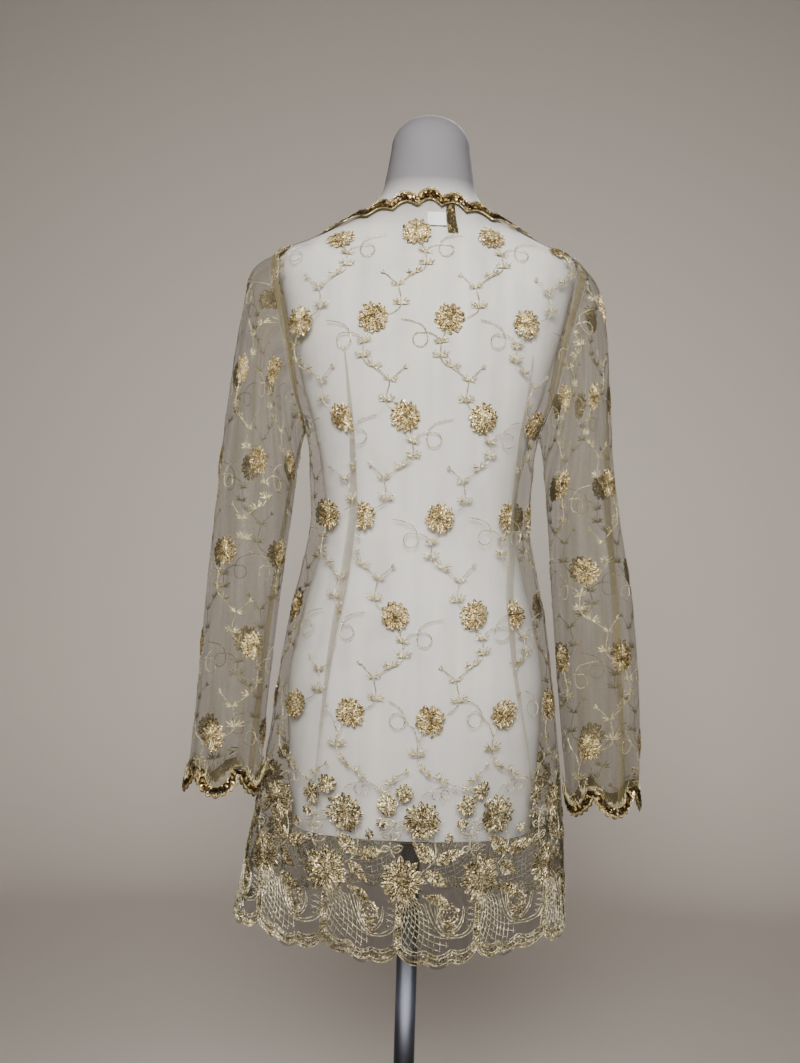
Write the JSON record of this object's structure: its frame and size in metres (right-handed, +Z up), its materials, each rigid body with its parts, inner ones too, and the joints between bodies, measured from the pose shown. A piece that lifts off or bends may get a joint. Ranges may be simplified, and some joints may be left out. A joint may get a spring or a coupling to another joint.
{
  "type": "kebaya blouse on a limbless dress form with a pole stand",
  "caption": "Long sheer kebaya blouse with gold floral embroidery, sequin braid and scalloped hem and cuffs, on a limbless dress form with a round-footed pole stand.",
  "frame": {"origin": "on the floor, at the centre of the stand foot's underside, under the pole", "axes": "+Z up, +Y out of the blouse's back, +X to the wearer's left"},
  "size_m": [0.5036, 0.3017, 1.5919],
  "materials": {
    "tulle": "sheer olive-beige tulle embroidered in gold metallic thread",
    "braid": "bronze sequin braid with pale gold cord edges",
    "label_tape": "white woven tape, blank",
    "form_skin": "satin off-white moulded plastic",
    "stand_metal": "satin blue-black enamel"
  },
  "bodies": {
    "root": {"back": "tulle", "front_left": "tulle", "front_right": "tulle", "sleeve_left": "tulle", "sleeve_right": "tulle", "neck_braid": "braid", "front_braid_left": "braid", "front_braid_right": "braid", "cuff_braid_left": "braid", "cuff_braid_right": "braid", "braid_end": "braid", "neck_label": "label_tape", "dress_form": "form_skin", "form_flange": "stand_metal", "pole": "stand_metal", "pole_socket": "stand_metal", "foot": "stand_metal"}
  },
  "joints": []
}
